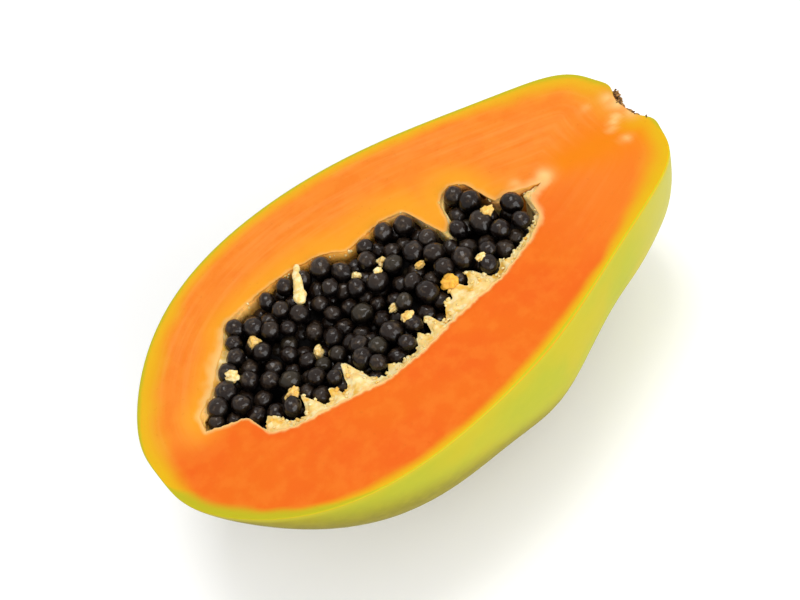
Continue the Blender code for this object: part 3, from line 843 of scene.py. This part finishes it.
seeds = {
    "radius": (2.4, 3.0),
    "bigRadius": (3.5, 2.5),
    "least": 1.9,
    "count": 128,
    "packing": 0.95,
    "fineness": (4, 3),  # of the balls on top and below
    "evenStep": (0.7548776662, 0.5698402910),
    "startSpacing": 3.6,
    "startTries": 4000,
    "settleSteps": 160,
    "settleRate": 0.6,
    "settleHold": 0.35,
    "heapTop": -0.4,
    "heapBand": 3.4,
    "dip": {"depth": 5.0, "centre": (56, 0), "size": (22, 10)},
    # the ones that stand out, largest first
    "big": (
        (37.2, -12.1), (108.9, -1.5), (68.7, 19.2), (70.0, -11.9), (84.8, -9.3), (93.5, -0.5), (98.0, -7.2),
        (68.5, 0.7), (26.1, 5.3), (114.3, 7.4), (96.0, 14.3), (90.2, 4.5), (77.2, 4.8), (61.7, -7.9),
        (119.0, -2.5), (109.3, 10.9), (91.5, -7.6), (88.1, 15.8), (37.9, 0.9), (50.7, -12.7), (111.2, -7.2),
        (83.5, 5.7), (55.7, 11.7), (72.0, 7.7), (79.1, 11.9), (46.5, 13.2), (41.4, 9.3), (117.1, -9.7),
        (78.2, -6.3), (57.6, 21.2), (66.8, 12.3), (61.8, -17.1), (35.0, 12.6), (104.5, -9.9), (51.3, 21.0),
    ),
    "clearance": 0.4,
    # seeds below: tries, and in mm how far from the ends and edges, and how far under the heap's top
    "lower": {"tries": 520, "ends": 4, "edges": 1.5, "highest": 2.4, "lowest": 7.5},
    "nesting": 0.86,
    "sinking": 0.6,
    # noises here are strength and fineness
    "form": {"girth": (0.92, 1.0), "length": (1.0, 1.08), "folds": (0.06, 2.4), "pits": (0.03, 5.2)},
    "foldLength": 1.1,
    "tip": (0.03, 0.12),
    "tipReach": 0.08,
    # painted light: where on a seed's upward side the lit top begins and where it is full
    "paintedLightTop": (0.1, 1.0),
}


def heapHeight(x, y):
    dip = seeds["dip"]
    u = (x - dip["centre"][0]) / dip["size"][0]
    v = (y - dip["centre"][1]) / dip["size"][1]
    return seeds["heapTop"] - dip["depth"] * math.exp(-u * u - v * v)


# for a point of a unit ball: its share of the way between the poles, its turn and its distance from the axis
def unroll(co):
    share = math.acos(max(-1.0, min(1.0, -co.z))) / math.pi
    return share, math.atan2(co.x, -co.y), math.hypot(co.x, co.y)


# the hollow's wall as a search tree, as coarse as the solid that the seeds are packed in
def wallTree():
    around, rings = 20, 100
    bm = bmesh.new()
    bmesh.ops.create_uvsphere(bm, u_segments=around, v_segments=rings, radius=1)
    step = 2 * math.pi / around
    for vert in bm.verts:
        share, angle, ring = unroll(vert.co)
        x = hollowStart + (hollowEnd - hollowStart) * share
        far, near = farEdge(x), nearEdge(x)
        if ring < 1e-4:
            vert.co = (x, far, 0.0)
        elif abs(angle) < step / 2:
            vert.co = (x, near, 0.0)
        elif angle > 0:
            vert.co = hollowWall(x, math.pi * (angle - step) / (math.pi - step))
        else:
            y = near + (far - near) * (1 - math.cos(angle)) / 2
            vert.co = (x, y, -hollow["depth"] * math.sin(angle) / 3)
    corners = [vert.co[:] for vert in bm.verts]
    wall = [[vert.index for vert in face.verts] for face in bm.faces if face.calc_center_median().z < -0.01]
    bm.free()
    return BVHTree.FromPolygons(corners, wall)


# one of many spots that lie evenly between a start and the slit
def evenSpot(step, start, along, across):
    low = min(y for _, y in hollow["fleshEdge"])
    high = max(y for _, y in hollow["farEdge"])
    x = start + (hollow["slitStart"] - start) * (step * along % 1)
    return x, low + (high - low) * (step * across % 1)


# adds spots clear of the given ones until there are enough
def spreadSpots(count, spots):
    for step in range(1, seeds["startTries"] + 2):
        if len(spots) >= count:
            break
        x, y = evenSpot(step, hollowStart, *seeds["evenStep"])
        nearOthers = any(math.hypot(x - u, y - v) < seeds["startSpacing"] for u, v in spots)
        if liningEdge(x) < y < farEdge(x) and not nearOthers:
            spots.append((x, y))
    return spots


# the seeds that show, pushed apart until they lie packed between wall, bed and heap top
def settleSeeds(tree):
    draw = random.Random(11)
    big = seeds["big"]
    spots = spreadSpots(seeds["count"], list(big))
    radii = list(np.linspace(*seeds["bigRadius"], len(big)))
    radii += [draw.uniform(*seeds["radius"]) for _ in spots[len(big):]]
    centres = np.array([(x, y, heapHeight(x, y) - draw.uniform(0, seeds["heapBand"])) for x, y in spots])
    centres[:len(big), 2] = [heapHeight(*spot) for spot in big]
    homes = centres[:len(big)].copy()
    radius = np.array(radii)
    wanted = seeds["packing"] * (radius[:, None] + radius[None, :])
    np.fill_diagonal(wanted, 0.0)
    for _ in range(seeds["settleSteps"]):
        gaps = centres[:, None] - centres[None, :]
        apart = np.linalg.norm(gaps, axis=2) + 1e-6
        push = np.maximum(0.0, wanted - apart) / (2 * apart)
        centres += seeds["settleRate"] * (gaps * push[..., None]).sum(axis=1)
        centres[:len(homes)] += seeds["settleHold"] * (homes - centres[:len(homes)])
        for index, centre in enumerate(centres):
            nearest, _, _, distance = tree.find_nearest(centre)
            short = radius[index] + seeds["clearance"] - distance
            if short > 0:
                centre += short * (centre - np.array(nearest)) / distance
            top = heapHeight(centre[0], centre[1])
            centre[2] = min(top, max(top - seeds["heapBand"], centre[2]))
    settled = []
    for centre, size in zip(centres, radius):
        size = min(size, tree.find_nearest(centre)[3] - seeds["clearance"])
        inside = liningEdge(centre[0]) < centre[1] < farEdge(centre[0])
        if inside and size > seeds["least"]:
            settled.append((Vector(centre), size))
    return settled


# more seeds below, each as high as it fits between those above it
def lowerSeeds(upper):
    draw = random.Random(31)
    lower = seeds["lower"]
    start = hollowStart + lower["ends"]
    below = []
    for step in range(lower["tries"]):
        x, y = evenSpot(step, start, *reversed(seeds["evenStep"]))
        radius = draw.uniform(*seeds["radius"])
        if not liningEdge(x) + lower["edges"] < y < farEdge(x) - lower["edges"]:
            continue
        top = heapHeight(x, y) - lower["highest"]
        for centre, other in upper + below:
            reach = seeds["nesting"] * (radius + other)
            off = math.hypot(centre.x - x, centre.y - y)
            if off < reach:
                top = min(top, centre.z - math.sqrt(reach * reach - off * off))
        if top > max(heapHeight(x, y) - lower["lowest"], radius * seeds["sinking"] - hollowDepth(x)):
            below.append((Vector((x, y, top)), radius))
    return below


# adds a ball to the piece, each of its points put in place by the mover
def addBall(bm, fineness, tint, mover):
    ball = bmesh.new()
    tintLayer, paintedLightTopLayer = ball.verts.layers.float.new("tint"), ball.verts.layers.float.new("top")
    bmesh.ops.create_icosphere(ball, subdivisions=fineness, radius=1)
    for vert in ball.verts:
        centre, spot = mover(vert.co.normalized())
        vert[tintLayer] = tint
        # painted light: the upward side of each ball is marked for a lighter tone
        vert[paintedLightTopLayer] = smoothStep((spot - centre).normalized().z, *seeds["paintedLightTop"])
        vert.co = rowPlace(spot)
    mesh = bpy.data.meshes.new("ball")
    ball.to_mesh(mesh)
    ball.free()
    bm.from_mesh(mesh)
    bpy.data.meshes.remove(mesh)


def drawTurn(draw):
    axis = Vector((draw.uniform(-1, 1), draw.uniform(-1, 1), draw.uniform(-1, 1))).normalized()
    return axis.to_track_quat("Z", "Y").to_matrix()


# one seed: an egg with a small tip, dented and wrinkled
def addSeed(bm, centre, radius, fineness, draw):
    turn = drawTurn(draw)
    form = seeds["form"]
    shape = Vector([draw.uniform(*form[key]) for key in ("girth", "girth", "length")])
    tip = draw.uniform(*seeds["tip"])
    seed = draw.uniform(0, 90)
    (foldStrength, folding), (pitStrength, pitting) = form["folds"], form["pits"]

    def mover(unit):
        fold = noise.noise(Vector((unit.x * folding, unit.y * folding, unit.z * seeds["foldLength"] + seed)))
        pit = noise.noise(unit * pitting + Vector((seed, 0, 0)))
        point = tip * math.exp(-((1 - unit.z) / seeds["tipReach"]))
        size = radius * (1 + foldStrength * fold + pitStrength * pit + point)
        return centre, centre + turn @ (unit * shape) * size

    addBall(bm, fineness, draw.random(), mover)


def buildSeeds(settled, below):
    draw = random.Random(23)
    bm = bmesh.new()
    for layer, fineness in zip((settled, below), seeds["fineness"]):
        for centre, radius in layer:
            addSeed(bm, centre, radius, fineness, draw)
    return addPiece("papayaSeeds", bm, [lookMaterial(seedLook)], ["seeds"])


shadeBed = {
    "around": 40,
    "rings": 90,
    "drop": 5.2,
    "inset": 0.9,
    "start": 4,
    "end": 1,
    "shoulder": 2.5,
    "lumps": (0.8, 3, 7.0),
    "overFloor": 1.5,
}


# painted shade: a dark sheet that the seeds lie in, hidden but for the gaps, which it darkens
def buildShadeBed():
    bm = bmesh.new()
    bmesh.ops.create_uvsphere(bm, u_segments=shadeBed["around"], v_segments=shadeBed["rings"], radius=1)
    start, end = hollowStart + shadeBed["start"], hollow["slitStart"] + shadeBed["end"]
    lumpHeight, lumpSize, lumpSeed = shadeBed["lumps"]
    for vert in bm.verts:
        share, turn, ring = unroll(vert.co)
        x = start + (end - start) * share
        near = max(liningEdge(x + offset) for offset in (-1, 0, 1)) + shadeBed["inset"]
        far = max(near, min(farEdge(x + offset) for offset in (-1, 0, 1)) - shadeBed["inset"])
        wide = min(1.0, shadeBed["shoulder"] * ring)
        y = (near + far) / 2 - (far - near) / 2 * math.cos(turn) * wide
        z = heapHeight(x, y) - shadeBed["drop"]
        z += lumpHeight * noise.noise(Vector((x / lumpSize, y / lumpSize, lumpSeed)))
        if turn > 0:
            z = min(z, -(hollowDepth(x) - shadeBed["overFloor"]) * math.sin(turn) ** hollow["bluntness"])
        vert.co = rowPlace(Vector((x, y, z)))
    return addPiece("seedShadeBed", bm, [plainMaterial("seed gel, painted shade")])


pulp = {
    # crumbs on the seeds: x, y, radius
    "bits": (
        (41.3, 12.6, 1.7), (52.9, 0.4, 1.5), (39.9, -7.4, 1.7), (30.8, 7.3, 1.6), (74.0, 10.4, 1.2),
        (81.9, 8.4, 1.2), (78.9, 5.8, 1.1), (75.5, -5.2, 1.3), (90.6, -10.8, 1.8), (88.6, -0.1, 1.1),
        (111.6, -1.2, 1.5), (101.1, -11.9, 1.1), (75.4, -12.4, 1.4),
    ),
    "bitShape": (1.25, 1.05, 0.9),
    "bitTint": (0.2, 0.9),
    # noises on a crumb: strength and fineness
    "swell": (0.5, 1.5),
    "knobs": (0.14, 4.0),
    "strand": ((64.2, 24.8), (60.4, 18.4), (57.8, 13.0)),
    "strandRadius": (1.3, 2.2),
    "strandRise": 0.6,
    "strandFlat": 0.8,
    "strandEnds": 0.3,
    "strandSwells": (0.5, 0.9),
    "strandLumps": (0.3, 7, 1.5),
    "strandTint": 0.4,
    "tufts": 240,
    "tuftCrowding": 1.8,
    "tuftRadius": (0.3, 0.85),
    "tuftSpan": (18, 125),
    "tuftTint": 0.8,
    "farTufts": {"share": 0.3, "bank": 0.4, "below": 0.2, "size": 0.6},
    "nearTufts": {"upTo": 0.9, "smaller": 0.6, "least": 0.3},
    "tuftShape": (0.6, 1.0, 0.7),
}


def seedTop(settled, x, y):
    tops = [heapHeight(x, y)]
    for centre, radius in settled:
        off = math.hypot(centre.x - x, centre.y - y)
        if off < radius:
            tops.append(centre.z + math.sqrt(radius * radius - off * off))
    return max(tops)


# one crumb: a lumpy ball of torn tissue
def addCrumb(bm, centre, size, fineness, draw, tint):
    radii = Vector(size)
    turn = drawTurn(draw)
    seed = draw.uniform(0, 90)
    (swellStrength, swelling), (knobStrength, knobbing) = pulp["swell"], pulp["knobs"]

    def mover(unit):
        swell = noise.noise(unit * swelling + Vector((seed, 0, 0)))
        knob = noise.noise(unit * knobbing + Vector((0, seed, 0)))
        return centre, centre + turn @ (unit * radii) * (1 + swellStrength * swell + knobStrength * knob)

    addBall(bm, fineness, tint, mover)


def buildCrumbs(settled):
    draw = random.Random(37)
    bm = bmesh.new()
    for x, y, radius in pulp["bits"]:
        centre = Vector((x, y, seedTop(settled, x, y)))
        tint = draw.uniform(*pulp["bitTint"])
        addCrumb(bm, centre, [radius * k for k in pulp["bitShape"]], 4, draw, tint)
    return addPiece("pulpCrumbs", bm, [lookMaterial(pulpLook)])


# the strand of pulp that hangs from the far rim over the seeds and swells at its end
def buildStrand(settled):
    top, middle, low = [Vector((x, y, 0.0)) for x, y in pulp["strand"]]
    low.z = seedTop(settled, low.x, low.y)
    nearby = [middle.lerp(end, k) for end in (top, low) for k in (0, 0.3)]
    middle.z = pulp["strandRise"] + max(seedTop(settled, spot.x, spot.y) for spot in nearby)
    first, last = pulp["strandRadius"]
    lumpStrength, lumpsAlong, lumpsRound = pulp["strandLumps"]
    bm = bmesh.new()
    bmesh.ops.create_uvsphere(bm, u_segments=28, v_segments=56, radius=1)
    layer = bm.verts.layers.float.new("tint")
    for vert in bm.verts:
        share, _, ring = unroll(vert.co)
        centre = top * (1 - share) ** 2 + middle * 2 * share * (1 - share) + low * share * share
        along = ((middle - top) * (1 - share) + (low - middle) * share).normalized()
        across = along.cross(Vector((0, 0, 1))).normalized()
        lift = across.cross(along)
        thick = first + (last - first) * smoothStep(share, *pulp["strandSwells"])
        thick *= max(0.0, math.sin(math.pi * share)) ** pulp["strandEnds"]
        knots = Vector((share * lumpsAlong, vert.co.x * lumpsRound, vert.co.y * lumpsRound))
        thick *= 1 + lumpStrength * noise.noise(knots)
        if ring > 1e-5:
            centre = centre + (across * vert.co.x + pulp["strandFlat"] * lift * vert.co.y) / ring * thick
        vert.co = rowPlace(centre)
        vert[layer] = pulp["strandTint"]
    return addPiece("pulpStrand", bm, [lookMaterial(pulpLook)])


# tufts that make the lining's ragged inner edge and lie on its slope
def buildTufts():
    draw = random.Random(41)
    bm = bmesh.new()
    far, near = pulp["farTufts"], pulp["nearTufts"]
    flattest, roundest, height = pulp["tuftShape"]
    for _ in range(pulp["tufts"]):
        x = draw.uniform(*pulp["tuftSpan"])
        radius = draw.uniform(*pulp["tuftRadius"])
        share = draw.random() ** pulp["tuftCrowding"]
        tint = draw.random() * pulp["tuftTint"]
        if draw.random() < far["share"]:
            edge = farEdge(x)
            bank = far["bank"] + sum(hill(x, shape) for shape in flesh["bank"])
            drop = flesh["bankDrop"] * (1 - share) + far["below"]
            spot = Vector((x, edge - bank * (1 - share), -drop))
            radius *= far["size"]
        else:
            edge = Vector((x, nearEdge(x), 0.0))
            spot = hollowWall(x, 0.0).lerp(edge, near["upTo"] * share)
            radius *= 1 - near["smaller"] * share
            radius *= near["least"] + (1 - near["least"]) * liningFade(x)
        size = (radius, radius * draw.uniform(flattest, roundest), radius * height)
        addCrumb(bm, spot, size, 2, draw, tint)
    return addPiece("liningTufts", bm, [lookMaterial(pulpLook)])


stem = {
    "crumbs": 170,
    "crowding": 1.5,
    "radius": (0.25, 0.6),
    "shape": (1.7, 1.0, 0.6),
    "spread": (0.2, 1.1),  # in shares of the scar's radius
    "flat": 0.9,
    "drop": 0.1,
    "rise": 0.5,
    "farRise": 1.7,
    "farSide": (2.0, 5.0),
    "sunk": 0.3,
    "most": 164.6,
}


# the crust of broken stem fibres along the scar, tallest on the far side
def buildCrust():
    draw = random.Random(53)
    bm = bmesh.new()
    scar = fruit["scar"]
    for _ in range(stem["crumbs"]):
        angle = math.pi * draw.random() ** stem["crowding"]
        radius = scar["radius"] * draw.uniform(*stem["spread"])
        deep = radius * math.sin(angle) * stem["flat"] + stem["drop"]
        spot = Vector((0, radius * math.cos(angle), -deep))
        rise = stem["rise"] + stem["farRise"] * smoothStep(spot.y, *stem["farSide"])
        dip = scar["depth"] * math.exp(-((radius / scar["radius"]) ** 4))
        spot.x = min(stem["most"], fruit["length"] - dip - stem["sunk"] + rise * draw.random())
        thick = draw.uniform(*stem["radius"])
        addCrumb(bm, spot, [thick * k for k in stem["shape"]], 2, draw, 0.0)
    return addPiece("stemCrust", bm, [plainMaterial("stem fibre, dry")])


studio = {
    "floor": "#fcfcfc",
    "world": 0.76,
    "lights": {
        "key": {"place": (0.2, 0.3, 1.5), "size": 0.6, "power": 7.6},
        "fill": {"place": (0.3, -1.3, 0.5), "size": 1.3, "power": 20},
    },
}


def buildStudio():
    bm = bmesh.new()
    bmesh.ops.create_grid(bm, x_segments=1, y_segments=1, size=6)
    mesh = bpy.data.meshes.new("studioFloor")
    bm.to_mesh(mesh)
    bm.free()
    material, tree, _ = newMaterial("studio paper, matt")
    shader = addNode(tree, "BsdfPrincipled", {"Base Color": colour(studio["floor"]), "Roughness": 0.9})
    addNode(tree, "OutputMaterial", {"Surface": shader.outputs[0]})
    mesh.materials.append(material)
    floor = bpy.data.objects.new("studioFloor", mesh)
    bpy.context.scene.collection.objects.link(floor)
    world = bpy.data.worlds.new("studio")
    world.use_nodes = True
    world.node_tree.nodes["Background"].inputs["Color"].default_value = (1, 1, 1, 1)
    world.node_tree.nodes["Background"].inputs["Strength"].default_value = studio["world"]
    bpy.context.scene.world = world
    for name, settings in studio["lights"].items():
        light = bpy.data.lights.new(name, "AREA")
        light.energy = settings["power"]
        light.size = settings["size"]
        lamp = bpy.data.objects.new(name, light)
        lamp.location = settings["place"]
        lamp.rotation_euler = (-lamp.location).to_track_quat("-Z", "Y").to_euler()
        bpy.context.scene.collection.objects.link(lamp)
    bpy.context.scene.view_settings.view_transform = "Standard"


view = {
    "turn": math.radians(19.9924),
    "down": math.radians(52.0266),
    "roll": math.radians(21.3483),
    "distance": 414.1,
    "aimX": 82.5,
    "focal": 69.67,
    "shift": (-0.0018, -0.02966),
}


def buildCamera():
    data = bpy.data.cameras.new("camera")
    data.lens = view["focal"]
    data.shift_x, data.shift_y = view["shift"]
    data.clip_start = 0.01
    camera = bpy.data.objects.new("camera", data)
    turn, down, roll = view["turn"], view["down"], view["roll"]
    ahead = Vector((math.sin(turn) * math.cos(down), math.cos(turn) * math.cos(down), -math.sin(down)))
    right = Vector((math.cos(turn), -math.sin(turn), 0))
    up = right.cross(ahead)
    leanRight = right * math.cos(roll) - up * math.sin(roll)
    leanUp = right * math.sin(roll) + up * math.cos(roll)
    spot = rowPlace(Vector((view["aimX"], 0, 0))) - ahead * view["distance"] * mm
    facing = Matrix((leanRight, leanUp, -ahead)).transposed()
    camera.matrix_world = Matrix.Translation(spot) @ facing.to_4x4()
    bpy.context.scene.collection.objects.link(camera)
    bpy.context.scene.camera = camera


buildCamera()
buildStudio()
print("studio and camera are set")
buildFlesh()
print("flesh and rind are in place")
settled = settleSeeds(wallTree())
below = lowerSeeds(settled)
print("seeds:", len(settled), "on top and", len(below), "below")
buildSeeds(settled, below)
buildShadeBed()
buildCrumbs(settled)
buildStrand(settled)
buildTufts()
buildCrust()
print("seeds, pulp and stem crust are in place")
